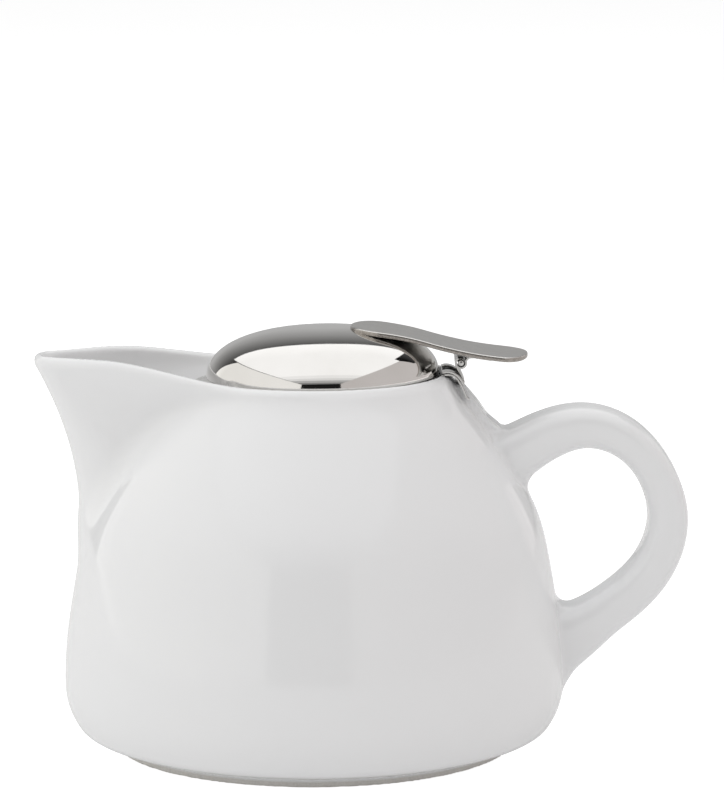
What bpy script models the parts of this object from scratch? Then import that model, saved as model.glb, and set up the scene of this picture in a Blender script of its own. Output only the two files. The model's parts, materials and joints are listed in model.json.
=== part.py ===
"""Porcelain jug teapot with a stainless flip lid, its rim clip and a lift-out infuser basket.

Frame: +Z up, spout towards -X, handle towards +X, the foot ring standing on z = 0.
The dimensions below are in millimetres from the pot's turning axis. place() brings them to metres
and to the object's origin, which is halfway between the spout's tip and the handle.
"""
import math

import bmesh
import bpy
import numpy as np
from mathutils import Matrix, Vector

MM = 0.001
AXIS_X = -11.3                 # the turning axis, seen from the object's origin
AROUND = 64                    # divisions round the pot
SPOUT_DENSITY = 0.5            # 0 spaces them evenly; more brings them closer together at the spout

# ---- porcelain pot ----
RIM_Z = 86.8                   # top of the round part of the rim
SPOUT_RISE = 4.2               # how much higher the spout's rim is
SPOUT_RISE_FROM = 13.8         # the rim starts to rise this far in front of the axis ...
SPOUT_RISE_TO = 48.5           # ... and is level again here
BODY_PROFILE = [               # outer radius by height, from the foot ring up to the lip
    (2.4, 48.6), (3.6, 52.2), (6.0, 55.2), (10.6, 57.2), (17.3, 57.7), (25.3, 57.2), (34.5, 55.9),
    (43.7, 54.3), (52.9, 52.0), (62.1, 47.6), (71.3, 41.7), (78.2, 36.6), (82.5, 33.4), (86.8, 31.4)]
FOOT_OUTER_R = 46.1
FOOT_INNER_R = 42.5
FOOT_H = 2.1
RECESS_H = 1.8                 # the underside inside the foot ring
RIM_STRETCH_FROM = 70.0        # the levels above this height are stretched up to the rim's height
LIP_T = 3.0
WALL_T = 3.7
SHOULDER_EXTRA_T = 2.2         # the wall is this much thicker under the ledge ...
SHOULDER_FROM_Z = 79.0         # ... above this height
FLOOR_Z = 6.0
FLOOR_CORNER_R = 9.0
FLOOR_CORNER_Z = 17.3          # the inside starts to round towards the floor here
OUTER_LEVELS = (2.4, 3.6, 6.0, 10.6, 17.3, 25.3, 34.5, 43.7, 50.0, 56.0, 62.1, 67.0, 71.3, 75.0, 78.2,
                80.8, 83.2)
INNER_LEVELS = (79.4, 76.0, 71.3, 66.5, 61.0, 54.0, 44.0, 34.5, 25.3, 17.3)
LEDGE_TOP_Z = 83.0
LEDGE_INNER_R = 27.2
LEDGE_BOTTOM_Z = 81.2
EASE = 0.2                     # slant of faces that would otherwise be exactly upright or level
MOUTH_EXTRA_R = 0.5            # the mouth is this much wider than the lip's inner edge
LEDGE_FILLET_H = 0.6
BLEND = 5.0                    # softness of the valley between spout and body, fading to BLEND_MIN behind
BLEND_MIN = 0.05

# spout: at each height its outline is a narrow circle at the tip and a wide one round the axis,
# joined by their tangents
TIP_REACH = 64.3
TIP_FOOT_X = 54.2              # where the spout's front line meets the body
TIP_FOOT_Z = 55.0
SPOUT_BOTTOM_Z = 36.0          # the spout has no effect on the body below this height
TIP_CURVE = 1.8
TIP_R_TOP = 8.2
TIP_R_GROWTH = 0.19            # added radius for each millimetre down
SPOUT_WIDE_R = [(30.0, 8.0), (45.0, 10.0), (60.0, 12.5), (70.0, 17.8), (80.0, 25.3), (85.5, 31.6)]

# handle: (x, z, half thickness, half width) along its middle, from the upper root to the lower
HANDLE = [
    (43.7, 66.2, 6.7, 7.8), (48.6, 69.3, 5.95, 7.5), (54.0, 72.2, 5.45, 7.3), (61.7, 74.2, 4.95, 7.2),
    (69.0, 72.75, 4.65, 7.1), (74.9, 68.6, 4.4, 7.1), (79.6, 61.4, 4.4, 7.0), (81.6, 53.4, 4.6, 7.0),
    (80.6, 46.5, 4.7, 7.1), (76.6, 39.1, 4.85, 7.2), (71.5, 34.0, 5.0, 7.3), (66.1, 29.9, 5.3, 7.4),
    (61.2, 26.6, 6.4, 7.6), (55.0, 23.6, 8.6, 8.0)]
HANDLE_SQUARE = 3.6            # power of its squared-ellipse section
HANDLE_STEPS = 3               # rings between two of those points
HANDLE_AROUND = 16

# rib between the rim and the handle, which the clip straddles
RIB_HALF_W = 4.4
RIB_OUTLINE = [
    (31.2, 84.2), (33.6, 84.4), (34.9, 83.2), (37.7, 79.9), (39.8, 76.8), (42.4, 74.6), (44.6, 70.0),
    (42.0, 68.5), (37.6, 74.5), (33.0, 80.6)]

# notch in the rim for the clip: a lowered rim, and a flat face on the mouth's side of it
NOTCH_HALF_W = 6.9
NOTCH_Z = 86.25
NOTCH_FACE_X = 29.5
NOTCH_DEPTH_Z = 83.05
NOTCH_FROM_X = 26.8
NOTCH_TO_X = 34.0

# ---- lid ----
LID_X = 2.05                   # the lid sits this far towards the handle ...
LID_TILT = 1.2                 # ... and is this many degrees higher on that side
LID_AROUND = 48
DOME_R = 26.87                 # the dome is the part of a squared ellipse above DOME_EDGE_Z
DOME_BASE_Z = 85.3
DOME_TOP_Z = 96.9
DOME_POWER = 2.39              # 2 is an ellipse; more is squarer
DOME_T = 0.7
DOME_EDGE_Z = 86.6
DOME_HEM = 0.3                 # the dome's edge is turned in this far below DOME_EDGE_Z
DOME_STEPS = 7
CAP_R = 19.5                   # inner cap, which centres the lid in the basket's collar
CAP_BOTTOM_Z = 81.9
CAP_T = 0.7
CAP_FLANGE_R = 25.3
CAP_FLANGE_Z = 86.0
CAP_SKIRT_T = 0.6              # the flange's skirt, which rests on the basket's rim
CAP_SKIRT_Z = 84.9

LEVER_TOP = [                  # top surface of the lever along its middle
    (8.4, 98.05), (12.0, 97.9), (17.0, 97.15), (22.8, 95.8), (29.4, 93.9), (36.1, 92.4), (42.6, 91.5),
    (46.5, 91.25), (49.1, 91.45)]
LEVER_STATIONS = 26
LEVER_T = 1.0
LEVER_HALF_W = 9.9
LEVER_FRONT_BLUNT = 0.75       # both ends are rounded less than a half circle
LEVER_TAIL_BLUNT = 0.62

# ---- hinge ----
PIN_X = 33.65
PIN_Z = 89.75
PIN_R = 0.7
PIN_HALF_L = 7.7
CURL_R = 1.2                   # middle of the sheet that is curled round the pin
SHEET_T = 0.4
LEVER_CURLS = ((-7.5, -3.6), (3.6, 7.5))
CLIP_CURL_HALF_W = 3.3
LEAF_HALF_W = 7.5
LEAF_LAND_X = (40.4, 38.6, 36.9, 36.0)   # the leaf follows the lever's underside here ...
LEAF_BEND = (35.2, 90.65)                # ... and then bends down into the curls
TONGUE = [(34.45, 84.55), (34.2, 85.45), (33.65, 86.6), (33.05, 87.6), (32.6, 88.6)]  # up to its curl

# ---- clip ----
CLIP_HALF_W = 6.3
BRACKET = [(29.3, 87.2), (30.3, 87.45), (31.5, 87.3), (32.75, 86.65), (33.8, 85.4), (34.35, 84.4)]
BRACKET_T = 0.5
SPRING = [(28.8, 83.45), (28.8, 85.75), (29.25, 86.5), (30.3, 86.8), (31.6, 86.7), (32.65, 86.0),
          (33.5, 84.75), (34.3, 83.15), (34.95, 81.7), (35.5, 81.15)]
TINE_INNER_Y = 4.95            # the spring's outer leg is a fork with a tine on each side of the rib
TINE_TOP_Z = 85.1
FORK_GAP_X = (31.9, 37.0)      # the gap between the tines is cut between these ...
FORK_GAP_Z = 80.0              # ... from below the spring's end

# ---- infuser basket ----
BASKET_AROUND = 48
RIM_FLANGE_R = 28.2
RIM_BOTTOM_Z = 83.3
RIM_TOP_Z = 84.1
COLLAR_R = 22.7
COLLAR_T = 0.6
COLLAR_BOTTOM_Z = 72.0
MESH_R = 21.8
MESH_T = 0.5
MESH_TOP_Z = 74.0
BASE_Z = 11.0
BASE_RING_H = 6.0
BASE_RING_R = 22.5
BASE_RING_T = 0.4
BASE_LIP = 2.6                 # width of the ring's flange under the mesh floor
SEAM_HALF_W = 2.4
SEAM_T = 0.4
GAP = 0.3


def material(name, colour, roughness, metallic=0.0):
    mat = bpy.data.materials.new(name)
    mat.use_nodes = True
    shader = mat.node_tree.nodes["Principled BSDF"]
    shader.inputs["Base Color"].default_value = (*colour, 1.0)
    shader.inputs["Roughness"].default_value = roughness
    shader.inputs["Metallic"].default_value = metallic
    return mat


def place(point):
    """A point in millimetres from the turning axis, as metres from the object's origin."""
    return (Vector(point) + Vector((AXIS_X, 0.0, 0.0))) * MM


def new_object(name, bm, mat, origin=(0.0, 0.0, 0.0), parent=None, sharp_deg=35.0):
    """Make an object of a bmesh built in millimetres, with its origin at a point in millimetres."""
    bmesh.ops.recalc_face_normals(bm, faces=bm.faces)
    for vert in bm.verts:
        vert.co = place(vert.co) - place(origin)
    mesh = bpy.data.meshes.new(name)
    bm.to_mesh(mesh)
    bm.free()
    mesh.shade_smooth()
    mesh.set_sharp_from_angle(angle=math.radians(sharp_deg))
    mesh.materials.append(mat)
    obj = bpy.data.objects.new(name, mesh)
    bpy.context.collection.objects.link(obj)
    obj.parent = parent
    obj.location = place(origin) - (parent.location if parent else Vector())
    return obj


def boolean(obj, cutter, operation):
    """Add a Boolean and keep the other shape as a hidden guide."""
    mod = obj.modifiers.new(operation.lower(), 'BOOLEAN')
    mod.operation = operation
    mod.solver = 'EXACT'
    mod.object = cutter
    cutter.hide_render = True
    cutter.display_type = 'WIRE'


def smooth_path(points, steps):
    """Catmull-Rom curve through points of any dimension."""
    pts = np.array(points, float)
    pts = np.vstack([2 * pts[0] - pts[1], pts, 2 * pts[-1] - pts[-2]])
    out = []
    for i in range(1, len(pts) - 2):
        before, here, after, beyond = pts[i - 1:i + 3]
        for t in np.arange(steps) / steps:
            out.append(0.5 * (2 * here + (after - before) * t
                              + (2 * before - 5 * here + 4 * after - beyond) * t ** 2
                              + (3 * here - before - 3 * after + beyond) * t ** 3))
    out.append(pts[-2])
    return np.array(out)


def lofted(rings):
    """Closed skin over rings with the same number of points; the two ends are filled."""
    bm = bmesh.new()
    rows = [[bm.verts.new(p) for p in ring] for ring in rings]
    count = len(rows[0])
    for low, high in zip(rows, rows[1:]):
        for i in range(count):
            j = (i + 1) % count
            bm.faces.new((low[i], low[j], high[j], high[i]))
    for row in (rows[0], rows[-1]):
        middle = bm.verts.new(sum((v.co for v in row), Vector()) / count)
        for i in range(count):
            bm.faces.new((row[i], row[(i + 1) % count], middle))
    return bm


def turned(profile, around=AROUND, centre_x=0.0):
    """Ring or disc made by turning a closed outline of (radius, height) about a vertical axis."""
    bm = bmesh.new()
    rows = []
    for r, z in profile:
        if r == 0.0:
            rows.append([bm.verts.new((centre_x, 0.0, z))] * around)
            continue
        turn = np.linspace(0.0, 2 * math.pi, around, endpoint=False)
        rows.append([bm.verts.new((centre_x + r * math.cos(a), r * math.sin(a), z)) for a in turn])
    for k, row in enumerate(rows):
        other = rows[(k + 1) % len(rows)]
        for i in range(around):
            j = (i + 1) % around
            corners = []
            for vert in (row[i], row[j], other[j], other[i]):
                if vert not in corners:
                    corners.append(vert)
            if len(corners) > 2:
                bm.faces.new(corners)
    return bm


def tilted(bm):
    """Turn a part of the lid about the middle of its base, so that its hinge side is higher."""
    tilt = Matrix.Rotation(-math.radians(LID_TILT), 3, 'Y')
    bmesh.ops.rotate(bm, verts=bm.verts, cent=(LID_X, 0.0, DOME_BASE_Z), matrix=tilt)
    return bm


def extruded(outline, y_low, y_high):
    """Solid between two copies of an outline in the XZ plane."""
    bm = bmesh.new()
    face = bm.faces.new([bm.verts.new((x, y_low, z)) for x, z in outline])
    grown = bmesh.ops.extrude_face_region(bm, geom=[face])
    moved = [item for item in grown["geom"] if isinstance(item, bmesh.types.BMVert)]
    bmesh.ops.translate(bm, verts=moved, vec=(0.0, y_high - y_low, 0.0))
    return bm


def strip_outline(path, thickness):
    """Outline of a bent sheet of constant thickness along a path in the XZ plane."""
    pts = np.array(path, float)
    along = np.gradient(pts, axis=0)
    along /= np.linalg.norm(along, axis=1)[:, None]
    side = np.stack([-along[:, 1], along[:, 0]], axis=1) * thickness / 2
    return [tuple(p) for p in np.vstack([pts + side, (pts - side)[::-1]])]


def smooth_max(a, b, softness):
    """The larger of two lengths, with a rounded change-over."""
    near = np.maximum(softness - np.abs(a - b), 0.0) / softness
    return np.maximum(a, b) + near ** 2 * softness / 4


def body_radius(z):
    curve = smooth_path(BODY_PROFILE, 6)
    return np.interp(z, curve[:, 0], curve[:, 1])


def spout_reach(z):
    climb = np.clip((z - TIP_FOOT_Z) / (RIM_Z + SPOUT_RISE - TIP_FOOT_Z), 0.0, 1.0)
    return TIP_FOOT_X + (TIP_REACH - TIP_FOOT_X) * climb ** TIP_CURVE


def spout_radius(angle, z, inset):
    """Distance from the axis to the spout's wall, at an angle from the spout's direction."""
    angle = np.abs((np.asarray(angle) + math.pi) % (2 * math.pi) - math.pi)
    levels, radii = zip(*SPOUT_WIDE_R)
    wide = np.interp(z, levels, radii) - inset
    tip = TIP_R_TOP + TIP_R_GROWTH * (RIM_Z + SPOUT_RISE - z) - inset
    span = spout_reach(z) - inset - tip
    lean = np.arcsin((wide - tip) / span)
    tip_angle = np.arctan2(tip * np.cos(lean), span + tip * np.sin(lean))
    straight = wide / np.maximum(np.sin(angle + lean), 1e-6)
    inside = np.maximum(tip ** 2 - (span * np.sin(angle)) ** 2, 0.0)
    nose = span * np.cos(angle) + np.sqrt(inside)
    out = np.where(angle < tip_angle, nose, straight)
    out = np.where(angle > math.pi / 2 - lean, wide, out)
    return np.where(z < SPOUT_BOTTOM_Z, 0.0, out)


def rim_height(x):
    t = np.clip((-x - SPOUT_RISE_FROM) / (SPOUT_RISE_TO - SPOUT_RISE_FROM), 0.0, 1.0)
    return RIM_Z + SPOUT_RISE * t * t * (3 - 2 * t)


def squared(value):
    """A sine or cosine bent so that a circle becomes the handle's squared section."""
    return math.copysign(abs(value) ** (2 / HANDLE_SQUARE), value)


def make_pot_body(mat):
    """Body, spout, foot ring, lip and ledge as one skin, then the handle, the rib and the notch."""
    even = np.linspace(0.0, 2 * math.pi, AROUND, endpoint=False)
    turn = even + SPOUT_DENSITY * np.sin(even)
    from_spout = turn - math.pi

    softness = BLEND_MIN + BLEND * np.cos(from_spout / 2) ** 4

    def outer(z, inset=0.0):
        return smooth_max(body_radius(z) - inset, spout_radius(from_spout, z, inset), softness)

    def inner(radius, z, inset):
        return np.maximum(radius, spout_radius(from_spout, z, inset))

    top = np.full(AROUND, RIM_Z)
    for _ in range(4):
        top = rim_height(outer(top, LIP_T / 2) * np.cos(turn))

    rings = []

    def add_ring(radius, z):
        radius = np.broadcast_to(radius, turn.shape)
        z = np.broadcast_to(z, turn.shape)
        rings.append([(r * math.cos(a), r * math.sin(a), h) for r, a, h in zip(radius, turn, z)])

    add_ring(FOOT_INNER_R / 2, RECESS_H)
    add_ring(FOOT_INNER_R - EASE, RECESS_H)
    add_ring(FOOT_INNER_R, 0.0)
    add_ring(FOOT_OUTER_R, 0.0)
    add_ring(FOOT_OUTER_R + EASE, FOOT_H)
    for z in OUTER_LEVELS:
        stretch = max(z - RIM_STRETCH_FROM, 0.0) / (RIM_Z - RIM_STRETCH_FROM)
        height = z + stretch * (top - RIM_Z)
        add_ring(outer(height), height)
    for part in range(5):
        bend = math.pi * part / 4
        inset = LIP_T / 2 * (1 - math.cos(bend))
        height = top - LIP_T / 2 * (1 - math.sin(bend))
        add_ring(outer(height, inset), height)
    mouth_r = body_radius(RIM_Z) - LIP_T + MOUTH_EXTRA_R
    above_ledge = LEDGE_TOP_Z + LEDGE_FILLET_H
    add_ring(inner(mouth_r, above_ledge, LIP_T), above_ledge + (top - RIM_Z) * EASE)
    add_ring(inner(mouth_r, LEDGE_TOP_Z, LIP_T), LEDGE_TOP_Z)
    add_ring(inner(LEDGE_INNER_R, LEDGE_TOP_Z - EASE, LIP_T), LEDGE_TOP_Z - EASE)
    add_ring(inner(LEDGE_INNER_R, LEDGE_BOTTOM_Z, LIP_T + EASE), LEDGE_BOTTOM_Z)
    for z in INNER_LEVELS:
        wall = WALL_T if z < SHOULDER_FROM_Z else WALL_T + SHOULDER_EXTRA_T
        spout_wall = min(WALL_T, LIP_T + (LEDGE_TOP_Z - z) / 10)
        add_ring(inner(body_radius(z) - wall, z, spout_wall), z)
    corner_r = body_radius(FLOOR_CORNER_Z) - WALL_T
    for part in (1, 2, 3):
        bend = math.pi / 2 * part / 3
        drop = (FLOOR_CORNER_Z - FLOOR_Z) * math.sin(bend)
        add_ring(corner_r - FLOOR_CORNER_R * (1 - math.cos(bend)), FLOOR_CORNER_Z - drop)
    add_ring(FOOT_INNER_R / 2, FLOOR_Z)
    pot = new_object("pot_body", lofted(rings), mat)

    path = smooth_path(HANDLE, HANDLE_STEPS)
    along = np.gradient(path[:, :2], axis=0)
    along /= np.linalg.norm(along, axis=1)[:, None]
    loops = []
    for (x, z, thick, wide), (tx, tz) in zip(path, along):
        loop = []
        for k in range(HANDLE_AROUND):
            a = 2 * math.pi * k / HANDLE_AROUND
            across = thick * squared(math.cos(a))
            loop.append((x - tz * across, wide * squared(math.sin(a)), z + tx * across))
        loops.append(loop)
    boolean(pot, new_object("handle_shape", lofted(loops), mat), 'UNION')
    boolean(pot, new_object("rib_shape", extruded(RIB_OUTLINE, -RIB_HALF_W, RIB_HALF_W), mat), 'UNION')

    above = RIM_Z + 2
    notch = [(NOTCH_FROM_X, NOTCH_DEPTH_Z), (NOTCH_FACE_X, NOTCH_DEPTH_Z), (NOTCH_FACE_X, NOTCH_Z),
             (NOTCH_TO_X, NOTCH_Z), (NOTCH_TO_X, above), (NOTCH_FROM_X, above)]
    boolean(pot, new_object("notch_shape", extruded(notch, -NOTCH_HALF_W, NOTCH_HALF_W), mat), 'DIFFERENCE')
    return pot


def dome_section(radius, base_z, height):
    """A squared ellipse from the dome's edge up to the axis, without the axis point."""
    bend = 2 / DOME_POWER
    edge = math.asin(((DOME_EDGE_Z - DOME_BASE_Z) / (DOME_TOP_Z - DOME_BASE_Z)) ** (1 / bend))
    angles = np.linspace(edge, math.pi / 2, DOME_STEPS + 1)[:-1]
    return [(radius * math.cos(a) ** bend, base_z + height * math.sin(a) ** bend) for a in angles]


def make_lid_dome(mat, origin, parent):
    height = DOME_TOP_Z - DOME_BASE_Z
    outside = dome_section(DOME_R, DOME_BASE_Z, height)
    inside = dome_section(DOME_R - DOME_T, DOME_BASE_Z, height - DOME_T)
    edge_r = outside[0][0]
    hem_z = DOME_EDGE_Z - DOME_HEM
    profile = [(edge_r - 1.1, hem_z), (edge_r - 0.35, hem_z), (edge_r - 0.05, DOME_EDGE_Z - 0.1)]
    profile += outside + [(0.0, DOME_TOP_Z), (0.0, DOME_TOP_Z - DOME_T)] + inside[::-1]
    profile.append((edge_r - 1.1, hem_z + DOME_HEM))
    return new_object("lid_dome", tilted(turned(profile, LID_AROUND, LID_X)), mat, origin, parent)


def make_lid_inner_cap(mat, origin, parent):
    """Pressed cap under the dome: a flange with a skirt inside the dome's edge, and a shallow cup."""
    top = CAP_FLANGE_Z + CAP_T
    low = CAP_BOTTOM_Z
    skirt_r = CAP_FLANGE_R - CAP_SKIRT_T
    profile = [(0.0, low), (CAP_R - 0.8, low), (CAP_R, low + 0.8), (CAP_R + 0.3, CAP_FLANGE_Z),
               (skirt_r, CAP_FLANGE_Z), (skirt_r, CAP_SKIRT_Z), (CAP_FLANGE_R, CAP_SKIRT_Z),
               (CAP_FLANGE_R, top), (CAP_R - 0.4, top), (CAP_R - CAP_T, low + 1.1),
               (CAP_R - 1.1, low + CAP_T), (0.0, low + CAP_T)]
    return new_object("lid_inner_cap", tilted(turned(profile, LID_AROUND, LID_X)), mat, origin, parent)


def lever_half_width(x):
    """Plan of the lever: straight sides and an elliptical round at each end."""
    front_l = LEVER_HALF_W * LEVER_FRONT_BLUNT
    tail_l = LEVER_HALF_W * LEVER_TAIL_BLUNT
    front = LEVER_TOP[0][0] + front_l
    back = LEVER_TOP[-1][0] - tail_l
    if x < front:
        return LEVER_HALF_W * math.sqrt(max(1 - ((front - x) / front_l) ** 2, 0.0))
    if x > back:
        return LEVER_HALF_W * math.sqrt(max(1 - ((x - back) / tail_l) ** 2, 0.0))
    return LEVER_HALF_W


def make_lever(mat, origin, parent):
    """Waved plate on the dome: a row of cross-sections, each a thin rectangle as wide as the plan."""
    curve = smooth_path(LEVER_TOP, 8)
    start = LEVER_TOP[0][0]
    end = LEVER_TOP[-1][0]
    bunched = (1 - np.cos(np.linspace(0.06, math.pi - 0.06, LEVER_STATIONS))) / 2
    stations = start + (end - start) * bunched
    rings = []
    for x in stations:
        top = np.interp(x, curve[:, 0], curve[:, 1])
        half = lever_half_width(x)
        ring = [(x, y, top) for y in np.linspace(-half, half, 5)]
        ring += [(x, y, top - LEVER_T) for y in np.linspace(half, -half, 5)]
        rings.append(ring)
    return new_object("lid_lever", lofted(rings), mat, origin, parent)


def arc(start_deg, end_deg, steps, radius=CURL_R):
    """Points round the hinge pin, angles from +X towards +Z."""
    angles = np.radians(np.linspace(start_deg, end_deg, steps))
    return [(PIN_X + radius * math.cos(a), PIN_Z + radius * math.sin(a)) for a in angles]


def make_lever_leaf(mat, origin, parent):
    """Leaf under the lever: a flat land, and a curl round each end of the pin."""
    curve = smooth_path(LEVER_TOP, 8)
    drop = LEVER_T + SHEET_T / 2 + GAP * 0.6
    land = [(x, float(np.interp(x, curve[:, 0], curve[:, 1])) - drop) for x in LEAF_LAND_X]
    flat = extruded(strip_outline(land, SHEET_T), -LEAF_HALF_W, LEAF_HALF_W)
    leaf = new_object("lever_hinge_leaf", flat, mat, origin, parent)
    for side, (low, high) in enumerate(LEVER_CURLS):
        path = land[1:] + [LEAF_BEND] + arc(12.0, -238.0, 14)
        curl = extruded(strip_outline(path, SHEET_T), low, high)
        boolean(leaf, new_object("leaf_curl_shape_%d" % side, curl, mat), 'UNION')
    return leaf


def make_pin(mat, parent):
    bm = bmesh.new()
    bmesh.ops.create_cone(bm, cap_ends=True, segments=20, radius1=PIN_R, radius2=PIN_R,
                          depth=2 * PIN_HALF_L)
    bmesh.ops.rotate(bm, verts=bm.verts, matrix=Matrix.Rotation(math.pi / 2, 3, 'X'))
    bmesh.ops.translate(bm, verts=bm.verts, vec=(PIN_X, 0.0, PIN_Z))
    return new_object("hinge_pin", bm, mat, (PIN_X, 0.0, PIN_Z), parent)


def make_clip_bracket(mat, parent):
    """Outer sheet of the clip: it lies on the spring, and its tongue is curled round the pin's middle."""
    origin = (PIN_X, 0.0, PIN_Z)
    arch = strip_outline(smooth_path(BRACKET, 3), BRACKET_T)
    bracket = new_object("clip_bracket", extruded(arch, -CLIP_HALF_W, CLIP_HALF_W), mat, origin, parent)
    tongue = strip_outline(TONGUE + arc(192.0, -60.0, 15), SHEET_T)
    curl = new_object("bracket_curl_shape", extruded(tongue, -CLIP_CURL_HALF_W, CLIP_CURL_HALF_W), mat)
    boolean(bracket, curl, 'UNION')
    return bracket


def make_clip_spring(mat, parent):
    """Inner sheet of the clip: it hooks into the mouth, crosses the rim and ends in a fork."""
    outline = strip_outline(smooth_path(SPRING, 3), SHEET_T)
    spring = new_object("clip_spring", extruded(outline, -CLIP_HALF_W, CLIP_HALF_W), mat,
                        (PIN_X, 0.0, PIN_Z), parent)
    near, far = FORK_GAP_X
    gap = [(near, FORK_GAP_Z), (far, FORK_GAP_Z), (far, TINE_TOP_Z), (near, TINE_TOP_Z)]
    fork_gap = new_object("fork_gap_shape", extruded(gap, -TINE_INNER_Y, TINE_INNER_Y), mat)
    boolean(spring, fork_gap, 'DIFFERENCE')
    return spring


def tube_profile(outer_r, thickness, low, high):
    inner_r = outer_r - thickness
    return [(outer_r, low), (outer_r, high), (inner_r, high), (inner_r, low)]


def make_infuser(steel, mesh_steel, parent):
    """Basket: pressed rim with a collar, mesh wall with its welded seam, base ring and mesh floor."""
    collar_in = COLLAR_R - COLLAR_T
    round_r = (RIM_TOP_Z - RIM_BOTTOM_Z) / 2
    rim = [(COLLAR_R, COLLAR_BOTTOM_Z), (COLLAR_R, RIM_BOTTOM_Z), (RIM_FLANGE_R - round_r, RIM_BOTTOM_Z),
           (RIM_FLANGE_R, RIM_BOTTOM_Z + round_r), (RIM_FLANGE_R - round_r, RIM_TOP_Z),
           (COLLAR_R, RIM_TOP_Z), (collar_in, RIM_TOP_Z - COLLAR_T), (collar_in, COLLAR_BOTTOM_Z)]
    new_object("infuser_rim", turned(rim, BASKET_AROUND), steel, parent=parent)

    wall_low = BASE_Z + 1.2
    wall = tube_profile(MESH_R, MESH_T, wall_low, MESH_TOP_Z)
    new_object("infuser_mesh_wall", turned(wall, BASKET_AROUND), mesh_steel, parent=parent)

    ring_in = BASE_RING_R - BASE_RING_T
    flange_z = BASE_Z + BASE_RING_T
    ring = [(ring_in, flange_z), (ring_in - BASE_LIP, flange_z), (ring_in - BASE_LIP, BASE_Z),
            (ring_in, BASE_Z), (BASE_RING_R, flange_z), (BASE_RING_R, BASE_Z + BASE_RING_H),
            (ring_in, BASE_Z + BASE_RING_H)]
    new_object("infuser_base_ring", turned(ring, BASKET_AROUND), steel, parent=parent)

    floor_r = MESH_R - MESH_T - GAP
    floor_z = flange_z + GAP
    floor = [(0.0, floor_z), (floor_r, floor_z), (floor_r, floor_z + MESH_T), (0.0, floor_z + MESH_T)]
    new_object("infuser_mesh_floor", turned(floor, BASKET_AROUND), mesh_steel, parent=parent)

    seam_y = -MESH_R - 0.3
    low = BASE_Z + BASE_RING_H + GAP
    high = COLLAR_BOTTOM_Z - GAP
    seam = [(-SEAM_HALF_W, low), (SEAM_HALF_W, low), (SEAM_HALF_W, high), (-SEAM_HALF_W, high)]
    new_object("infuser_seam_strip", extruded(seam, seam_y - SEAM_T, seam_y), steel, parent=parent)


def make_empty(name, location):
    empty = bpy.data.objects.new(name, None)
    empty.location = place(location)
    bpy.context.collection.objects.link(empty)
    return empty


def main():
    for obj in list(bpy.data.objects):
        bpy.data.objects.remove(obj, do_unlink=True)

    porcelain = material("porcelain", (0.86, 0.86, 0.87), 0.12)
    polished = material("polished_steel", (0.78, 0.77, 0.75), 0.08, 1.0)
    satin = material("satin_steel", (0.62, 0.61, 0.59), 0.32, 1.0)
    dull = material("sheet_steel", (0.66, 0.65, 0.64), 0.25, 1.0)
    woven = material("steel_mesh", (0.6, 0.6, 0.6), 0.4, 1.0)

    hinge = (PIN_X, 0.0, PIN_Z)
    lid = make_empty("lid_hinge_axis", hinge)
    clip = make_empty("lid_lift_axis", hinge)
    basket = make_empty("infuser_lift_axis", (0.0, 0.0, 0.0))

    make_pot_body(porcelain)
    make_lid_dome(polished, hinge, lid)
    make_lid_inner_cap(polished, hinge, lid)
    make_lever(satin, hinge, lid)
    make_lever_leaf(dull, hinge, lid)
    make_pin(dull, clip)
    make_clip_bracket(dull, clip)
    make_clip_spring(dull, clip)
    make_infuser(dull, woven, basket)


main()
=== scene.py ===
"""Looks of the infuser teapot: glazed porcelain, polished and satin steel, and the woven basket.

Everything is built in millimetres from the pot's turning axis, as in the CAD model, and brought to
the frame's metres by to_frame(). The turning axis and the hinge pin are read from the frame.
"""
import json
import math

import bmesh
import bpy
import numpy as np
from mathutils import Matrix, Vector


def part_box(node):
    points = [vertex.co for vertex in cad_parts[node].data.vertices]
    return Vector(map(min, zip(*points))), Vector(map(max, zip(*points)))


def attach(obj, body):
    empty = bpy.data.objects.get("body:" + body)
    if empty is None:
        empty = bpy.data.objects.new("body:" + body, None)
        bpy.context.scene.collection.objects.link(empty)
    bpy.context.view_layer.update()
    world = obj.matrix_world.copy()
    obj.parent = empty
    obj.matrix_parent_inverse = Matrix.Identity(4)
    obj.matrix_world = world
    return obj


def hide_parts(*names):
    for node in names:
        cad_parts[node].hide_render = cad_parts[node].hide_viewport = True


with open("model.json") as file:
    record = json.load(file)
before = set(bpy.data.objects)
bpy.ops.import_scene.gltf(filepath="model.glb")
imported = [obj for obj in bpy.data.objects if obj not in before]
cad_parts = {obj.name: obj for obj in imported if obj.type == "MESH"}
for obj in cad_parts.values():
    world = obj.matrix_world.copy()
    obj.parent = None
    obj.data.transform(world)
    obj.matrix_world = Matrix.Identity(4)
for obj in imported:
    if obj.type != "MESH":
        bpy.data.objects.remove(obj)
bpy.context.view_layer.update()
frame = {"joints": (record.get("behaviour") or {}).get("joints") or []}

MM = 0.001
# the basket's rim is centred on the pot's turning axis
seat_low, seat_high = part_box("infuser_rim")
AXIS_X = (seat_low.x + seat_high.x) / 2 / MM
hinge = next(j for j in frame["joints"] if j["name"] == "lid_hinge")
PIN_X = hinge["pos_m"][0] / MM - AXIS_X
PIN_Z = hinge["pos_m"][2] / MM

SAME_M = 1e-6                  # points closer than this are one
SMOOTH_DEG = 40.0              # edges bent more than this are shaded sharp ...
BEVEL_DEG = 35.0               # ... and those bent more than this are bevelled
ALL_SMOOTH_DEG = 180.0
FACE_END = 0.9                 # faces whose normals run along Y more than this are a sheet's cut ends
AROUND = 192                   # corners of a turned piece
FAR = 1e9
TINY = 1e-6


# ---------------- meshes
def to_frame(points):
    """Millimetres from the turning axis to the frame's metres."""
    return (np.asarray(points, float) + (AXIS_X, 0.0, 0.0)) * MM


def add_object(name, data):
    obj = bpy.data.objects.new(name, data)
    bpy.context.scene.collection.objects.link(obj)
    return obj


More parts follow.
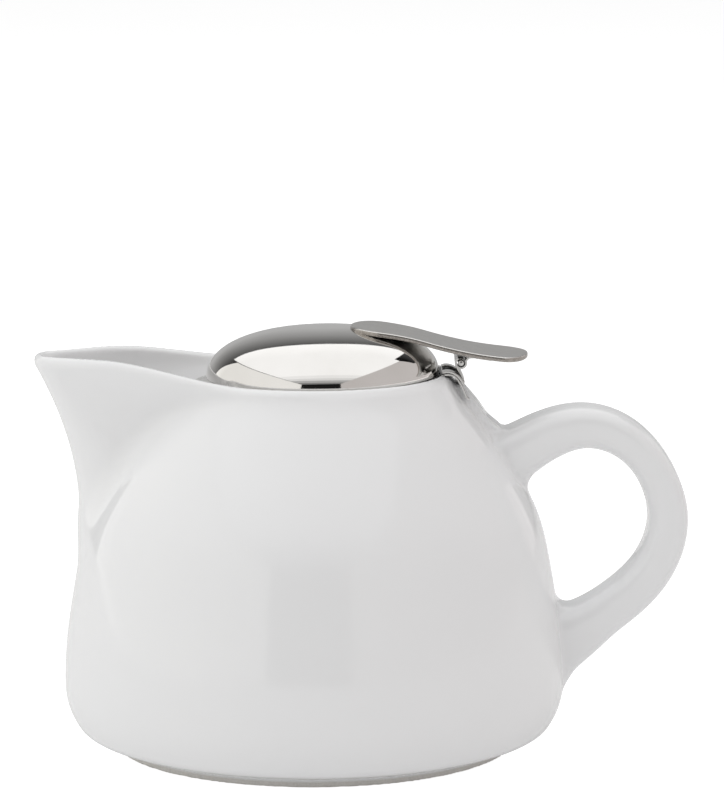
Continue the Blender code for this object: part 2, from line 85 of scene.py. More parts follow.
def new_mesh(name, points, faces, mats, smooth_deg=SMOOTH_DEG):
    mesh = bpy.data.meshes.new(name)
    mesh.from_pydata(to_frame(points).tolist(), [], [tuple(f) for f in faces])
    for mat in mats:
        mesh.materials.append(mat)
    bm = bmesh.new()
    bm.from_mesh(mesh)
    bmesh.ops.remove_doubles(bm, verts=bm.verts, dist=SAME_M)
    bmesh.ops.recalc_face_normals(bm, faces=bm.faces)
    bm.to_mesh(mesh)
    bm.free()
    mesh.shade_smooth()
    mesh.set_sharp_from_angle(angle=math.radians(smooth_deg))
    return add_object(name, mesh)


def bevel(obj, width_mm, segments=3, edge_slot=-1):
    mod = obj.modifiers.new("edge", 'BEVEL')
    mod.width = width_mm * MM
    mod.segments = segments
    mod.limit_method = 'ANGLE'
    mod.angle_limit = math.radians(BEVEL_DEG)
    mod.material = edge_slot


def turned(name, profile, mats, around=AROUND, centre_x=0.0):
    """Ring or disc made by turning a closed outline of (radius, height) about a vertical axis."""
    profile = np.array(profile, float)
    turn = np.linspace(0.0, 2 * math.pi, around, endpoint=False)
    r, z = profile[:, 0], profile[:, 1]
    points = np.stack([centre_x + r[:, None] * np.cos(turn), r[:, None] * np.sin(turn),
                       np.repeat(z[:, None], around, 1)], axis=2).reshape(-1, 3)
    faces = []
    for k in range(len(profile)):
        other = (k + 1) % len(profile)
        if r[k] == 0.0 and r[other] == 0.0:
            continue
        for i in range(around):
            j = (i + 1) % around
            faces.append((k * around + i, k * around + j, other * around + j, other * around + i))
    return new_mesh(name, points, faces, mats)


def tilted(piece):
    """Turn a part of the lid about the middle of its base, so that its hinge side is higher."""
    pivot = Vector(to_frame((LID_X, 0.0, DOME_BASE_Z)))
    turn = Matrix.Rotation(-math.radians(LID_TILT), 4, 'Y')
    piece.data.transform(Matrix.Translation(pivot) @ turn @ Matrix.Translation(-pivot))
    return piece


def strip(name, path, thickness, y_ranges, mats):
    """Bent sheet of constant thickness along a path in the XZ plane, over one or more widths."""
    path = np.array(path, float)
    along = np.gradient(path, axis=0)
    along /= np.linalg.norm(along, axis=1)[:, None]
    side = np.stack([-along[:, 1], along[:, 0]], axis=1) * thickness / 2
    outline = np.vstack([path + side, (path - side)[::-1]])
    count = len(outline)
    half = count // 2
    points = []
    faces = []
    for low, high in y_ranges:
        base = len(points)
        for y in (low, high):
            points += [(x, y, z) for x, z in outline]
        for i in range(count):
            j = (i + 1) % count
            faces.append((base + i, base + j, base + count + j, base + count + i))
        for i in range(half - 1):
            quad = (i, i + 1, count - 2 - i, count - 1 - i)
            faces.append(tuple(base + q for q in quad))
            faces.append(tuple(base + count + q for q in quad))
    return new_mesh(name, points, faces, mats)


def smooth_path(points, steps):
    """Catmull-Rom curve through points of any dimension."""
    pts = np.array(points, float)
    pts = np.vstack([2 * pts[0] - pts[1], pts, 2 * pts[-1] - pts[-2]])
    out = []
    for i in range(1, len(pts) - 2):
        before, here, after, beyond = pts[i - 1:i + 3]
        for t in np.arange(steps) / steps:
            out.append(0.5 * (2 * here + (after - before) * t
                              + (2 * before - 5 * here + 4 * after - beyond) * t ** 2
                              + (3 * here - before - 3 * after + beyond) * t ** 3))
    out.append(pts[-2])
    return np.array(out)


def spline(rows):
    """Natural cubic spline through rows of (parameter, value, ...), held level beyond its ends."""
    table = np.array(rows, float)
    t, v = table[:, 0], table[:, 1:]
    h = np.diff(t)
    system = np.eye(len(t))
    right = np.zeros_like(v)
    for i in range(1, len(t) - 1):
        system[i, i - 1:i + 2] = h[i - 1], 2 * (h[i - 1] + h[i]), h[i]
        right[i] = 6 * ((v[i + 1] - v[i]) / h[i] - (v[i] - v[i - 1]) / h[i - 1])
    bend = np.linalg.solve(system, right)

    def at(q):
        q = np.clip(np.asarray(q, float), t[0], t[-1])
        i = np.clip(np.searchsorted(t, q) - 1, 0, len(t) - 2)
        step = h[i][..., None]
        a = ((t[i + 1] - q) / h[i])[..., None]
        b = 1 - a
        out = a * v[i] + b * v[i + 1]
        out += ((a ** 3 - a) * bend[i] + (b ** 3 - b) * bend[i + 1]) * step ** 2 / 6
        return out[..., 0] if out.shape[-1] == 1 else out
    return at


# ---------------- solid shapes as distance fields
def smooth_min(a, b, k):
    """Union of two solids with a fillet about k wide."""
    near = np.maximum(k - np.abs(a - b), 0.0) / k
    return np.minimum(a, b) - near ** 2 * k / 4


def round_intersect(a, b, r):
    """What two solids share, with their common edge rounded to a radius."""
    outside = np.hypot(np.maximum(r + a, 0.0), np.maximum(r + b, 0.0))
    return np.minimum(np.maximum(a, b), -r) + outside


def polygon_distance(outline, a, b):
    """Signed distance, negative inside, from points (a, b) to a closed outline."""
    outline = np.array(outline, float)
    best = np.full(a.shape, FAR)
    inside = np.zeros(a.shape, bool)
    for (x0, y0), (x1, y1) in zip(outline, np.roll(outline, -1, axis=0)):
        ex, ey = x1 - x0, y1 - y0
        t = np.clip(((a - x0) * ex + (b - y0) * ey) / (ex * ex + ey * ey), 0.0, 1.0)
        best = np.minimum(best, (a - x0 - t * ex) ** 2 + (b - y0 - t * ey) ** 2)
        if y0 != y1:
            crosses = (y0 > b) != (y1 > b)
            inside ^= crosses & (a < x0 + (b - y0) / (y1 - y0) * ex)
    return np.where(inside, -1.0, 1.0) * np.sqrt(best)


COARSE = 4                     # cells of the first, coarse grid are this many fine ones wide
NEAR_SURFACE = 2.2             # in coarse cells: nearer than this, the fine grid is worked out too
SETTLE_STEPS = 4               # moves of each vertex towards the surface
MAX_MOVE = 0.4                 # of a cell, in one move
MOVE_REACH = 0.05              # mm to both sides, for the slope that a move follows
MIN_SLOPE_2 = 0.05
NORMAL_REACH = 0.25            # mm to both sides, for the normals


def surface_mesh(name, field, low, high, pitch, mat):
    """Closed mesh of where a field is zero: one vertex in each crossed cell, moved onto the surface."""
    counts = [int(math.ceil((b - a) / pitch / COARSE)) * COARSE + 1 for a, b in zip(low, high)]
    axes = [a + pitch * np.arange(n) for a, n in zip(low, counts)]
    grid = field(*np.meshgrid(*[axis[::COARSE] for axis in axes], indexing='ij'))
    for i, n in enumerate(counts):
        grid = np.repeat(grid, COARSE, axis=i).take(np.arange(n), axis=i)
    near = np.abs(grid) < pitch * COARSE * NEAR_SURFACE
    spots = np.nonzero(near)
    grid[near] = field(*[axis[s] for axis, s in zip(axes, spots)])

    sign = grid < 0
    cells = [n - 1 for n in counts]
    crossing_sum = np.zeros((*cells, 3), np.float32)
    crossing_count = np.zeros(cells, np.float32)
    corners = [(i, j, k) for i in (0, 1) for j in (0, 1) for k in (0, 1)]

    def corner(array, c):
        return array[tuple(slice(o, o + n) for o, n in zip(c, cells))]

    for c0 in corners:
        for axis in range(3):
            if c0[axis]:
                continue
            c1 = tuple(o + (i == axis) for i, o in enumerate(c0))
            v0, v1 = corner(grid, c0), corner(grid, c1)
            crossed = corner(sign, c0) != corner(sign, c1)
            t = np.where(crossed, v0 / np.where(crossed, v0 - v1, 1.0), 0.0)
            for i in range(3):
                place = t if i == axis else float(c0[i])
                crossing_sum[..., i] += crossed * place
            crossing_count += crossed
    used = crossing_count > 0
    number = np.full(cells, -1, np.int64)
    number[used] = np.arange(used.sum())
    cell = np.stack(np.nonzero(used), axis=1)
    points = np.array(low) + pitch * (cell + crossing_sum[used] / crossing_count[used][:, None])

    quads = []
    for axis in range(3):
        a, b = [i for i in range(3) if i != axis]
        here = [slice(1, -1)] * 3
        here[axis] = slice(0, -1)
        after = list(here)
        after[axis] = slice(1, None)
        s0, s1 = sign[tuple(here)], sign[tuple(after)]
        at = np.stack(np.nonzero(s0 != s1), axis=1)
        inward = s0[tuple(at.T)]
        at = at + [0 if i == axis else 1 for i in range(3)]
        ring = []
        for da, db in ((1, 1), (0, 1), (0, 0), (1, 0)):
            index = at.copy()
            index[:, a] -= da
            index[:, b] -= db
            ring.append(number[tuple(index.T)])
        ring = np.stack(ring, axis=1)
        flip = inward if axis == 1 else ~inward
        ring[flip] = ring[flip][:, ::-1]
        quads.append(ring)
    quads = np.vstack(quads)

    def gradient(p, reach):
        out = []
        for i in range(3):
            step = np.zeros(3)
            step[i] = reach
            out.append((field(*(p + step).T) - field(*(p - step).T)) / (2 * reach))
        return np.stack(out, axis=1)

    for _ in range(SETTLE_STEPS):
        slope = gradient(points, MOVE_REACH)
        move = slope * (field(*points.T) / np.maximum((slope ** 2).sum(1), MIN_SLOPE_2))[:, None]
        length = np.linalg.norm(move, axis=1)[:, None]
        points = points - move * np.minimum(1.0, MAX_MOVE * pitch / np.maximum(length, TINY))
    normals = gradient(points, NORMAL_REACH)
    normals /= np.linalg.norm(normals, axis=1)[:, None]

    mesh = bpy.data.meshes.new(name)
    mesh.from_pydata(to_frame(points).tolist(), [], quads.tolist())
    mesh.materials.append(mat)
    mesh.shade_smooth()
    mesh.normals_split_custom_set_from_vertices(normals.tolist())
    return add_object(name, mesh)


# ---------------- materials
class Material:
    """A Principled material with noise built up on it, in the piece's own coordinates."""

    def __init__(self, name, colour, roughness, metallic=0.0):
        self.mat = bpy.data.materials.new(name)
        self.mat.use_nodes = True
        self.nodes = self.mat.node_tree.nodes
        self.links = self.mat.node_tree.links
        self.shader = self.nodes["Principled BSDF"]
        self.shader.inputs["Base Color"].default_value = (*colour, 1.0)
        self.shader.inputs["Roughness"].default_value = roughness
        self.shader.inputs["Metallic"].default_value = metallic
        self.coords = self.nodes.new("ShaderNodeTexCoord").outputs["Object"]
        self.normal = None

    def noise(self, per_mm, detail=3.0, stretch=(1.0, 1.0, 1.0)):
        """Noise with a number of waves per millimetre, fewer along a stretched axis."""
        mapping = self.nodes.new("ShaderNodeMapping")
        mapping.inputs["Scale"].default_value = [s * per_mm / MM for s in stretch]
        self.links.new(self.coords, mapping.inputs["Vector"])
        noise = self.nodes.new("ShaderNodeTexNoise")
        noise.inputs["Scale"].default_value = 1.0
        noise.inputs["Detail"].default_value = detail
        self.links.new(mapping.outputs["Vector"], noise.inputs["Vector"])
        return noise.outputs["Fac"]

    def range(self, value, low, high, from_low=0.3, from_high=0.7):
        """Map a range of the value, by default the middle of a noise's, onto low to high."""
        node = self.nodes.new("ShaderNodeMapRange")
        for key, number in (("From Min", from_low), ("From Max", from_high), ("To Min", low),
                            ("To Max", high)):
            node.inputs[key].default_value = number
        self.links.new(value, node.inputs["Value"])
        return node.outputs["Result"]

    def height(self):
        split = self.nodes.new("ShaderNodeSeparateXYZ")
        self.links.new(self.coords, split.inputs["Vector"])
        return split.outputs["Z"]

    def mix(self, factor, first, second, kind='FLOAT'):
        """Two numbers mixed by a factor; each is a constant or another node's output."""
        node = self.nodes.new("ShaderNodeMix")
        node.data_type = kind
        self.links.new(factor, node.inputs["Factor"])
        for socket, value in ((node.inputs["A"], first), (node.inputs["B"], second)):
            if isinstance(value, tuple):
                socket.default_value = (*value, 1.0)
            elif isinstance(value, float):
                socket.default_value = value
            else:
                self.links.new(value, socket)
        return node.outputs["Result"]

    def blend(self, factor, first, second):
        """The same for two colours."""
        return self.mix(factor, first, second, 'RGBA')

    def two_tone(self, noise, first, second):
        """A colour that wanders between two with a noise."""
        return self.blend(self.range(noise, 0.0, 1.0), first, second)

    def colour(self, value):
        self.links.new(value, self.shader.inputs["Base Color"])

    def roughness(self, value):
        self.links.new(value, self.shader.inputs["Roughness"])

    def bump(self, value, height_mm, strength=1.0):
        node = self.nodes.new("ShaderNodeBump")
        node.inputs["Distance"].default_value = height_mm * MM
        node.inputs["Strength"].default_value = strength
        self.links.new(value, node.inputs["Height"])
        if self.normal is not None:
            self.links.new(self.normal, node.inputs["Normal"])
        self.normal = node.outputs["Normal"]
        self.links.new(self.normal, self.shader.inputs["Normal"])


BARE_TO_M = 0.0011             # the foot ring is bare clay up to here ...
GLAZED_FROM_M = 0.0016         # ... and glazed from here on


def porcelain_material():
    """White glaze over the whole pot, bare grey clay on the foot ring it was fired on."""
    m = Material("glazed_porcelain", (0.90, 0.905, 0.912), 0.1)
    m.shader.inputs["IOR"].default_value = 1.52
    glaze = m.two_tone(m.noise(0.02, 2.0), (0.893, 0.899, 0.908), (0.907, 0.911, 0.917))
    clay = m.two_tone(m.noise(2.5, 4.0), (0.66, 0.64, 0.605), (0.76, 0.74, 0.705))
    bare = m.range(m.height(), 1.0, 0.0, BARE_TO_M, GLAZED_FROM_M)
    m.colour(m.blend(bare, glaze, clay))
    m.roughness(m.mix(bare, m.range(m.noise(0.05, 3.0), 0.06, 0.12), 0.8))
    m.bump(m.noise(0.12, 2.0), 0.02, 0.5)
    m.bump(m.noise(6.0, 3.0), 0.004, 0.25)
    return m.mat


def polished_material():
    """Mirror-polished steel with a faint haze and waviness."""
    m = Material("polished_steel", (0.76, 0.745, 0.72), 0.06, 1.0)
    m.colour(m.two_tone(m.noise(0.08, 3.0), (0.74, 0.725, 0.70), (0.79, 0.775, 0.755)))
    m.roughness(m.range(m.noise(0.3, 5.0), 0.035, 0.075))
    m.bump(m.noise(0.15, 2.0), 0.01, 0.4)
    m.bump(m.noise(9.0, 2.0), 0.0015, 0.2)
    return m.mat


def satin_material():
    """Fine satin grain along the lever."""
    m = Material("satin_steel", (0.58, 0.57, 0.55), 0.34, 1.0)
    grain = m.noise(9.0, 5.0, (0.06, 1.0, 1.0))
    m.colour(m.two_tone(grain, (0.52, 0.51, 0.495), (0.64, 0.63, 0.61)))
    m.roughness(m.range(m.noise(2.0, 4.0, (0.1, 1.0, 1.0)), 0.28, 0.42))
    m.bump(grain, 0.006, 0.5)
    m.bump(m.noise(14.0, 2.0), 0.004, 0.3)
    return m.mat


def ground_edge_shade_material():
    """The lower part of the lever's cut edge: ground, not polished, and coloured dark as painted shade.
    """
    m = Material("ground_steel_edge_shade", (0.38, 0.35, 0.32), 0.3, 1.0)
    m.colour(m.two_tone(m.noise(1.2, 3.0), (0.32, 0.295, 0.27), (0.44, 0.41, 0.38)))
    m.roughness(m.range(m.noise(2.5, 3.0), 0.22, 0.36))
    return m.mat


def sheet_material():
    """Bright cold-rolled sheet, with faint rolling lines across the clip."""
    m = Material("sheet_steel", (0.66, 0.65, 0.63), 0.2, 1.0)
    lines = m.noise(7.0, 4.0, (1.0, 0.08, 1.0))
    m.colour(m.two_tone(lines, (0.60, 0.59, 0.575), (0.71, 0.70, 0.68)))
    m.roughness(m.range(m.noise(0.6, 4.0), 0.14, 0.27))
    m.bump(lines, 0.004, 0.4)
    return m.mat


def spring_material():
    """Near-black steel: painted shade on the clip spring's faces and in the bores of the curls."""
    m = Material("painted_shade_steel", (0.03, 0.03, 0.033), 0.3, 1.0)
    m.colour(m.two_tone(m.noise(0.8, 3.0), (0.02, 0.02, 0.023), (0.045, 0.044, 0.045)))
    m.roughness(m.range(m.noise(2.0, 3.0), 0.24, 0.38))
    return m.mat


def wire_material():
    """Drawn wire of the basket's weave."""
    m = Material("wire_steel", (0.62, 0.61, 0.60), 0.3, 1.0)
    m.colour(m.two_tone(m.noise(0.1, 3.0), (0.55, 0.54, 0.53), (0.68, 0.67, 0.66)))
    m.roughness(m.range(m.noise(3.0, 3.0), 0.22, 0.4))
    return m.mat


porcelain = porcelain_material()
polished = polished_material()
satin = satin_material()
ground_edge_shade = ground_edge_shade_material()
sheet = sheet_material()
spring_shade = spring_material()
wire = wire_material()


def fit(obj, body, slot, *nodes):
    """A finished piece: the body it rides on and the CAD nodes it stands for; the slot argument is not
    used.
    """
    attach(obj, body)
    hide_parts(*nodes)


# ---------------- porcelain pot
RIM_Z = 86.8
SPOUT_RISE = 4.2
SPOUT_RISE_FROM = 13.8
SPOUT_RISE_TO = 48.5
BODY_PROFILE = [
    (2.4, 48.6), (3.6, 52.2), (6.0, 55.2), (10.6, 57.2), (17.3, 57.7), (25.3, 57.2), (34.5, 55.9),
    (43.7, 54.3), (52.9, 52.0), (62.1, 47.6), (71.3, 41.7), (78.2, 36.6), (82.5, 33.4), (86.8, 31.4)]
FOOT_MIDDLE_R = 44.3
FOOT_HALF_W = 1.8
FOOT_ROUND = 0.5
FOOT_FILLET = 1.0
UNDERSIDE_Z = 2.0
UNDERSIDE_ROUND = 0.8
LIP_T = 3.0                    # wall of the spout at its lip
SPOUT_WALL_FROM_Z = 72.0       # it gets as thin as that between these heights
SPOUT_WALL_TO_Z = 83.0
WALL_T = 3.7
SHOULDER_EXTRA_T = 2.2         # more wall under the ledge, grown between these heights
SHOULDER_FROM_Z = 74.0
SHOULDER_TO_Z = 81.0
FLOOR_Z = 6.0
FLOOR_CORNER_R = 9.0
LEDGE_TOP_Z = 83.0
LEDGE_INNER_R = 27.2
LEDGE_BOTTOM_Z = 81.2
LEDGE_UNDER_ROUND = 1.5
THROAT_HALF_H = 3.0            # the hole in the ledge is cut this far up and down from its bottom
THROAT_FILLET = 1.2
MOUTH_R = 28.9
MOUTH_DRAFT = 0.13             # the mouth's radius shrinks upwards by this much per mm
MOUTH_FILLET = 0.8
CHANNEL_FILLET = 1.5           # where the mouth opens into the spout
LIP_OUTER_ROUND = 1.8
TIP_OUTER_ROUND = 3.0
TIP_ROUND_FROM = 45.0          # towards the spout, the lip's rounding grows between these distances
TIP_ROUND_TO = 60.0
LIP_INNER_ROUND = 1.1
VALLEY = 5.0                   # width of the fillet between spout and body, in front ...
VALLEY_MIN = 0.05              # ... and behind, where there is no spout
SLOPE_STEP = 0.2

TIP_REACH = 65.5
TIP_FOOT_X = 54.2
TIP_FOOT_Z = 55.0
TIP_CURVE = 1.9                # power of the tip's forward sweep over its height
TIP_CLIMB_MAX = 1.1
SPOUT_FADE = 0.02              # how fast the spout draws back into the body below its foot
TIP_R_TOP = 8.2
TIP_R_GROWTH = 0.19
SPOUT_WIDE_R = [(30.0, 8.0), (45.0, 10.0), (60.0, 12.5), (70.0, 17.8), (80.0, 25.3), (85.5, 31.3),
                (91.0, 32.6)]

HANDLE = [                     # (x, z, half thickness, half width) from the upper root to the lower
    (43.7, 66.2, 6.7, 7.8), (48.6, 69.3, 5.95, 7.5), (54.0, 72.2, 5.45, 7.3), (61.7, 74.2, 4.95, 7.2),
    (69.0, 72.75, 4.65, 7.1), (74.9, 68.6, 4.4, 7.1), (79.6, 61.4, 4.4, 7.0), (81.6, 53.4, 4.6, 7.0),
    (80.6, 46.5, 4.7, 7.1), (76.6, 39.1, 4.85, 7.2), (71.5, 34.0, 5.0, 7.3), (66.1, 29.9, 5.3, 7.4),
    (61.2, 26.6, 6.4, 7.6), (55.0, 23.6, 8.6, 8.0)]
HANDLE_SQUARE = 3.6            # power of its squared-ellipse section
HANDLE_STATIONS = 70           # places along it that are tried first for the nearest point ...
HANDLE_STEPS = 3               # ... and how often that point is then bettered
HANDLE_STEP = 0.05
HANDLE_MIN_SPEED_2 = 0.2
HANDLE_FILLET = 4.0
BEHIND_X = 20.0                # handle and rib are all beyond this

RIB_HALF_W = 4.4
RIB_ROUND = 0.8
RIB_FILLET = 1.1
RIB_TO_HANDLE = 2.2
ROOT_Z = 68.0                  # the fillet against the body narrows from the handle's to the rib's
RIB_END_Z = 76.0               # between these heights ...
CREASE_FROM_Y = 4.0            # ... and between these distances from the middle plane
CREASE_TO_Y = 6.8
RIB_OUTLINE = [
    (31.2, 84.2), (33.6, 84.4), (34.9, 83.2), (37.7, 79.9), (39.8, 76.8), (42.4, 74.6), (44.6, 70.0),
    (42.0, 68.5), (37.6, 74.5), (33.0, 80.6)]

NOTCH_HALF_W = 6.9             # seat of the rim clip: the lip is lowered, and its inner face set back
NOTCH_Z = 86.25
NOTCH_MIDDLE_X = 28.0
NOTCH_HALF_L = 8.0
NOTCH_FACE_X = 29.5
NOTCH_FACE_HALF_L = 4.0
NOTCH_DEPTH_Z = 83.05
NOTCH_ROUND = 0.5

POT_LOW = (-67.0, -60.0, -2.0)
POT_HIGH = (89.0, 60.0, 94.0)
FULL_PITCH = 0.82

body_radius = spline(BODY_PROFILE)
spout_wide = spline(SPOUT_WIDE_R)
legs = np.linalg.norm(np.diff(np.array(HANDLE)[:, :2], axis=0), axis=1)
leg = np.concatenate([[0.0], np.cumsum(legs)])
handle_at = spline(np.column_stack([leg, HANDLE]))


def smooth_step(value, low, high):
    t = np.clip((value - low) / (high - low), 0.0, 1.0)
    return t * t * (3 - 2 * t)


def spout_field(x, y, z, inset):
    """In plan a tapered capsule: a small circle at the tip, a wide one round the axis."""
    drop = np.maximum(TIP_FOOT_Z - z, 0.0)
    climb = np.clip((z - TIP_FOOT_Z) / (RIM_Z + SPOUT_RISE - TIP_FOOT_Z), 0.0, TIP_CLIMB_MAX)
    reach = TIP_FOOT_X + (TIP_REACH - TIP_FOOT_X) * climb ** TIP_CURVE
    wide = spout_wide(z)
    tip = TIP_R_TOP + TIP_R_GROWTH * (RIM_Z + SPOUT_RISE - z)
    span = reach - tip
    along, across = -x, np.abs(y)
    lean = (wide - tip) / span
    level = np.sqrt(1 - lean ** 2)
    place = along * level - across * lean
    out = across * level + along * lean - wide
    out = np.where(place < 0, np.hypot(along, across) - wide, out)
    out = np.where(place > level * span, np.hypot(along - span, across) - tip, out)
    return out + inset + SPOUT_FADE * drop ** 2


def handle_field(x, y, z):
    """Swept squared ellipse: the nearest point of the middle line is found in the XZ plane."""
    stations = np.linspace(leg[0], leg[-1], HANDLE_STATIONS)
    best = np.full(x.shape, FAR)
    at = np.zeros(x.shape)
    for s, (px, pz) in zip(stations, handle_at(stations)[:, :2]):
        gap = (x - px) ** 2 + (z - pz) ** 2
        at = np.where(gap < best, s, at)
        best = np.minimum(gap, best)
    for _ in range(HANDLE_STEPS):
        here = handle_at(at)
        after = handle_at(np.minimum(at + HANDLE_STEP, leg[-1]))
        before = handle_at(np.maximum(at - HANDLE_STEP, 0.0))
        ahead = (after - before) / (2 * HANDLE_STEP)
        tx, tz = ahead[..., 0], ahead[..., 1]
        speed_2 = np.maximum(tx ** 2 + tz ** 2, HANDLE_MIN_SPEED_2)
        at = at + ((x - here[..., 0]) * tx + (z - here[..., 1]) * tz) / speed_2
        at = np.clip(at, 0.0, leg[-1])
    here = handle_at(at)
    across = np.hypot(x - here[..., 0], z - here[..., 1])
    thick, wide = here[..., 2], here[..., 3]
    u, v = across / thick, np.abs(y) / wide
    bend = HANDLE_SQUARE - 1
    size = (u ** HANDLE_SQUARE + v ** HANDLE_SQUARE) ** (1 / HANDLE_SQUARE)
    steep = np.hypot(u ** bend / thick, v ** bend / wide)
    return size ** bend * (size - 1) / np.maximum(steep, TINY)


def pot_field(x, y, z):
    """The whole pot, negative in the porcelain."""
    r = np.hypot(x, y)
    profile = body_radius(z)
    slope = (body_radius(z + SLOPE_STEP) - body_radius(z - SLOPE_STEP)) / (2 * SLOPE_STEP)
    upright = 1 / np.sqrt(1 + slope ** 2)
    towards_spout = (1 - x / np.maximum(r, TINY)) / 2
    valley = VALLEY_MIN + VALLEY * towards_spout ** 2
    side = smooth_min(r - profile, spout_field(x, y, z, 0.0), valley) * upright

    top = RIM_Z + SPOUT_RISE * smooth_step(-x, SPOUT_RISE_FROM, SPOUT_RISE_TO)
    rounder = smooth_step(-x, TIP_ROUND_FROM, TIP_ROUND_TO)
    lip_round = LIP_OUTER_ROUND + (TIP_OUTER_ROUND - LIP_OUTER_ROUND) * rounder
    solid = round_intersect(side, z - top, lip_round)
    solid = round_intersect(solid, UNDERSIDE_Z - z, UNDERSIDE_ROUND)

    behind = x > BEHIND_X
    if behind.any():
        xb, yb, zb = x[behind], y[behind], z[behind]
        rib_plan = polygon_distance(RIB_OUTLINE, xb, zb)
        rib = round_intersect(rib_plan, np.abs(yb) - RIB_HALF_W, RIB_ROUND)
        added = smooth_min(handle_field(xb, yb, zb), rib, RIB_TO_HANDLE)
        sharp = np.maximum(smooth_step(zb, ROOT_Z, RIB_END_Z),
                           smooth_step(np.abs(yb), CREASE_FROM_Y, CREASE_TO_Y))
        fillet = HANDLE_FILLET + (RIB_FILLET - HANDLE_FILLET) * sharp
        solid[behind] = smooth_min(solid[behind], added, fillet)

    ring_r = np.abs(r - FOOT_MIDDLE_R) - FOOT_HALF_W + FOOT_ROUND
    ring_z = np.abs(z - UNDERSIDE_Z) - UNDERSIDE_Z + FOOT_ROUND
    ring = np.hypot(np.maximum(ring_r, 0.0), np.maximum(ring_z, 0.0)) - FOOT_ROUND
    ring = ring + np.minimum(np.maximum(ring_r, ring_z), 0.0)
    solid = smooth_min(solid, ring, FOOT_FILLET)

    wall = WALL_T + SHOULDER_EXTRA_T * smooth_step(z, SHOULDER_FROM_Z, SHOULDER_TO_Z)
    belly = round_intersect((r - profile + wall) * upright, FLOOR_Z - z, FLOOR_CORNER_R)
    belly = round_intersect(belly, z - LEDGE_BOTTOM_Z, LEDGE_UNDER_ROUND)
    throat = np.maximum(np.abs(z - LEDGE_BOTTOM_Z) - THROAT_HALF_H, r - LEDGE_INNER_R)
    mouth = np.maximum(LEDGE_TOP_Z - z, r - MOUTH_R + MOUTH_DRAFT * (z - LEDGE_TOP_Z))
    inside = smooth_min(smooth_min(belly, throat, THROAT_FILLET), mouth, MOUTH_FILLET)
    spout_wall = WALL_T + (LIP_T - WALL_T) * smooth_step(z, SPOUT_WALL_FROM_Z, SPOUT_WALL_TO_Z)
    inside = smooth_min(inside, spout_field(x, y, z, spout_wall) * upright, CHANNEL_FILLET)

    beside = np.abs(y) - NOTCH_HALF_W
    lowered = np.maximum(np.maximum(beside, NOTCH_Z - z), np.abs(x - NOTCH_MIDDLE_X) - NOTCH_HALF_L)
    face_x = np.abs(x - NOTCH_FACE_X + NOTCH_FACE_HALF_L) - NOTCH_FACE_HALF_L
    face = np.maximum(np.maximum(beside, NOTCH_DEPTH_Z - z), face_x)
    solid = round_intersect(solid, -inside, LIP_INNER_ROUND)
    return round_intersect(solid, -np.minimum(lowered, face), NOTCH_ROUND)


pitch = FULL_PITCH
pot = surface_mesh("porcelain_pot", pot_field, POT_LOW, POT_HIGH, pitch, porcelain)
fit(pot, "pot", "porcelain", "pot_body")

# ---------------- lid
LID_X = 2.05
LID_TILT = 1.2
DOME_R = 26.87
DOME_BASE_Z = 85.3
DOME_TOP_Z = 97.0
DOME_POWER = 2.39
DOME_T = 0.7
DOME_EDGE_Z = 86.6
DOME_STEPS = 44
DOME_AROUND = 256
DOME_HEM = 0.7
HEM_W = 1.1
HEM_OUTLINE = [(-HEM_W, 0.1), (-1.0, 0.0), (-0.4, 0.0), (-0.15, 0.06), (-0.04, 0.17)]
CAP_R = 19.5
CAP_BOTTOM_Z = 81.9
CAP_T = 0.7
CAP_FLANGE_R = 25.3
CAP_FLANGE_Z = 86.0
CAP_SKIRT_T = 0.6
CAP_SKIRT_Z = 84.9

LEVER_TOP = [
    (8.4, 97.55), (12.0, 97.4), (17.0, 96.85), (22.8, 95.75), (29.4, 93.95), (36.1, 92.45),
    (42.6, 91.5), (46.5, 91.25), (49.1, 91.35)]
LEVER_T = 1.15
LEVER_HALF_W = 9.9
LEVER_FRONT_BLUNT = 0.75
LEVER_TAIL_BLUNT = 0.62
LEVER_EDGE = 0.32
LEVER_RINGS = (0.0, 0.2, 0.45, 0.7, 0.9)
LEVER_SIDE_STEPS = 31
LEVER_END_STEPS = 33
LEVER_EDGE_STEPS = 5
FACE_UPRIGHT = 0.8             # faces whose normals rise or drop less than this form the edge ...
FACE_TOP = 0.25                # ... and those that rise more than this its polished upper half; the rest is ground steel coloured dark as painted shade

PIN_R = 0.7
PIN_HALF_L = 7.7
CURL_R = 1.2
SHEET_T = 0.4
LEVER_CURLS = ((-7.5, -3.6), (3.6, 7.5))
CLIP_CURL_HALF_W = 3.3
LEAF_HALF_W = 7.5
LEAF_X = (40.6, 39.8, 39.0, 38.2, 37.4, 36.6)
LEAF_BEND = [(35.55, 1.2), (35.1, 0.85)]           # (x, height over the pin)
LEAF_BEND_DEG = 22.0           # the bend ends here on the curl, which goes on from here ...
LEAF_CURL_DEG = 14.0
LEAF_CURL_END_DEG = -238.0     # ... to here
LEAF_SINK = 0.02               # the leaf is let this far into the lever
SHEET_EDGE = 0.09
GAP = 0.3


def dome_section(radius, height):
    """A squared ellipse from the dome's edge up to the axis, without the axis point."""
    bend = 2 / DOME_POWER
    edge = math.asin(((DOME_EDGE_Z - DOME_BASE_Z) / (DOME_TOP_Z - DOME_BASE_Z)) ** (1 / bend))
    angles = np.linspace(edge, math.pi / 2, DOME_STEPS)[:-1]
    return [(radius * math.cos(a) ** bend, DOME_BASE_Z + height * math.sin(a) ** bend) for a in angles]


height = DOME_TOP_Z - DOME_BASE_Z
outside = dome_section(DOME_R, height)
inside = dome_section(DOME_R - DOME_T, height - DOME_T)
edge_r = outside[0][0]
hem_z = DOME_EDGE_Z - DOME_HEM
hem = [(edge_r + out, hem_z + up) for out, up in HEM_OUTLINE]
dome = turned("lid_dome_shell", hem + outside + [(0.0, DOME_TOP_Z), (0.0, DOME_TOP_Z - DOME_T)]
              + inside[::-1] + [(edge_r - HEM_W, hem_z + DOME_HEM)], [polished], DOME_AROUND, LID_X)
fit(tilted(dome), "lid", "polished_steel", "lid_dome")

